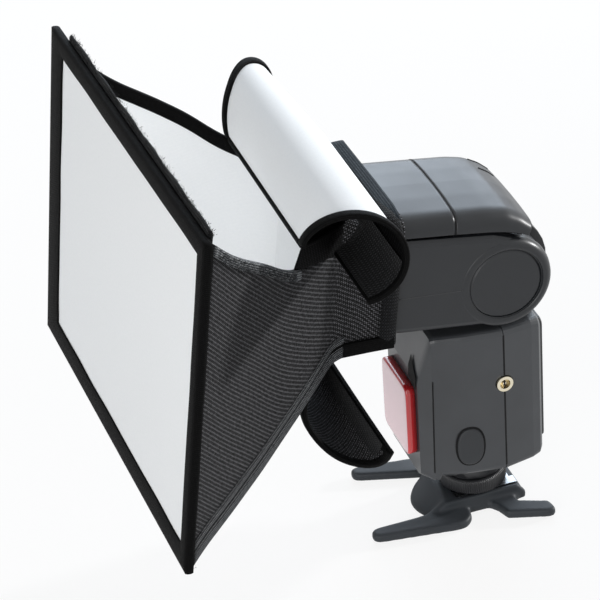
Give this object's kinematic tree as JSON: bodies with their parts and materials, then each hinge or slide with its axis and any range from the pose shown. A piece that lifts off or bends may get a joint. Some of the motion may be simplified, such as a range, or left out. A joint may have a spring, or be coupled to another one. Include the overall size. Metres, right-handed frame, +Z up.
{
  "type": "hot-shoe flash with softbox",
  "caption": "Tilting, swivelling hot-shoe electronic flash on a low shoe stand, wearing a folding fabric softbox with its flaps curled open.",
  "frame": {"origin": "middle of the object's box on the surface that it stands on", "axes": "-X to the flash's front, where the softbox faces, +Y to the flash's far side with the battery door, +Z up"},
  "size_m": [0.2026, 0.201, 0.2268],
  "materials": {
    "stand_plastic": "fine-grained dark grey moulding",
    "satin_plastic": "satin dark grey moulding",
    "dark_plastic": "near-black moulding",
    "red_window": "polished clear red",
    "clear_plastic": "polished clear",
    "steel": "brushed",
    "brass": "bright gold-coloured plating",
    "mirror": "bright-rolled reflector sheet",
    "tube_glass": "clear",
    "rubber": "matt",
    "board": "green solder mask",
    "cell": "plain dark wrap",
    "capacitor_sleeve": "shrink sleeve",
    "black_nylon": "ribbed black woven nylon, white lining on the inner side",
    "white_cloth": "fine white woven diffuser",
    "hook_tape": "black hook-and-loop tape"
  },
  "bodies": {
    "stand": {"stand_base": "stand_plastic", "stand_shoe": "steel", "tripod_bush": "brass"},
    "flash_body": {"shoe_foot": "steel", "contact_pins": "brass", "pedestal": "dark_plastic", "body_front_shell": "satin_plastic", "body_rear_shell": "satin_plastic", "front_window": "red_window", "assist_lamp": "clear_plastic", "slave_sensor": "dark_plastic", "sync_socket": "brass", "side_port": "dark_plastic", "battery_tray": "dark_plastic", "battery_cell_1": "cell", "battery_cell_2": "cell", "battery_cell_3": "cell", "battery_cell_4": "cell", "battery_contacts": "brass", "main_capacitor": "capacitor_sleeve", "main_board": "board", "back_panel": "dark_plastic", "display_window": "clear_plastic"},
    "lock_ring": {"lock_ring": "dark_plastic"},
    "port_cover": {"port_cover": "rubber"},
    "battery_door": {"battery_door": "satin_plastic"},
    "test_button": {"test_button": "rubber"},
    "mode_button": {"mode_button": "rubber"},
    "select_button": {"select_button": "rubber"},
    "power_switch": {"power_switch": "rubber"},
    "neck": {"neck": "satin_plastic", "swivel_retainer": "steel", "tilt_axle": "steel"},
    "head": {"head_shell": "satin_plastic", "pivot_cap_near": "satin_plastic", "pivot_cap_far": "satin_plastic", "head_lid_front": "satin_plastic", "head_lid_rear": "satin_plastic", "lens_bezel": "dark_plastic", "front_lens": "clear_plastic", "guide_rods": "steel", "zoom_motor": "steel", "trigger_coil": "rubber"},
    "zoom": {"zoom_carriage": "dark_plastic", "reflector": "mirror", "flash_tube": "tube_glass", "tube_holder": "dark_plastic"},
    "lead_screw": {"lead_screw": "steel"},
    "softbox": {"collar": "black_nylon", "collar_strap": "hook_tape", "side_panel_near": "black_nylon", "side_panel_far": "black_nylon", "front_binding": "black_nylon", "diffuser_panel": "white_cloth", "hook_strip_top": "hook_tape", "hook_strip_bottom": "hook_tape"},
    "top_flap": {"top_flap": "black_nylon", "top_flap_tape": "hook_tape"},
    "bottom_flap": {"bottom_flap": "black_nylon", "bottom_flap_tape": "hook_tape"}
  },
  "joints": [
    {"name": "shoe_slide", "type": "slide", "parent": "stand", "child": "flash_body", "axis": [1, 0, 0], "range_m": [0, 0.03]},
    {"name": "ring_turn", "type": "hinge", "parent": "flash_body", "child": "lock_ring", "pos_m": [0.06934, 0, 0.0093], "axis": [0, 0, 1], "range_deg": [0, 270]},
    {"name": "swivel", "type": "hinge", "parent": "flash_body", "child": "neck", "pos_m": [0.07334, 0, 0.1068], "axis": [0, 0, 1], "range_deg": [-90, 180]},
    {"name": "tilt", "type": "hinge", "parent": "neck", "child": "head", "pos_m": [0.07634, 0, 0.13], "axis": [0, 1, 0], "range_deg": [-8.5, 81.5]},
    {"name": "zoom_slide", "type": "slide", "parent": "head", "child": "zoom", "axis": [-0.989, 0, 0.1478], "range_m": [0, 0.01]},
    {"name": "screw_turn", "type": "hinge", "parent": "head", "child": "lead_screw", "pos_m": [0.02497, 0.008, 0.12453], "axis": [-0.989, 0, 0.1478], "range_deg": [0, 342]},
    {"name": "softbox_slide", "type": "slide", "parent": "head", "child": "softbox", "axis": [-0.989, 0, 0.1478], "range_m": [0, 0.032]},
    {"name": "top_flap_swing", "type": "hinge", "parent": "softbox", "child": "top_flap", "pos_m": [0.00402, 0, 0.17923], "axis": [0, 1, 0], "range_deg": [-10, 6]},
    {"name": "bottom_flap_swing", "type": "hinge", "parent": "softbox", "child": "bottom_flap", "pos_m": [-0.00532, 0, 0.11672], "axis": [0, 1, 0], "range_deg": [-15, 5]},
    {"name": "door_swing", "type": "hinge", "parent": "flash_body", "child": "battery_door", "pos_m": [0.08934, 0.02914, 0.055], "axis": [0, 0, -1], "range_deg": [0, 100]},
    {"name": "cover_swing", "type": "hinge", "parent": "flash_body", "child": "port_cover", "pos_m": [0.05834, -0.02891, 0.0577], "axis": [-1, 0, 0], "range_deg": [0, 100]},
    {"name": "test_press", "type": "slide", "parent": "flash_body", "child": "test_button", "axis": [-1, 0, 0], "range_m": [0, 0.0008], "stiffness_N_per_m": 400},
    {"name": "mode_press", "type": "slide", "parent": "flash_body", "child": "mode_button", "axis": [-1, 0, 0], "range_m": [0, 0.0008], "stiffness_N_per_m": 400},
    {"name": "select_press", "type": "slide", "parent": "flash_body", "child": "select_button", "axis": [-1, 0, 0], "range_m": [0, 0.0008], "stiffness_N_per_m": 400},
    {"name": "power_slide", "type": "slide", "parent": "flash_body", "child": "power_switch", "axis": [0, 1, 0], "range_m": [0, 0.005]}
  ],
  "couplings": [
    {"joint": "screw_turn", "follows": "zoom_slide", "rad_per_m": 596}
  ]
}
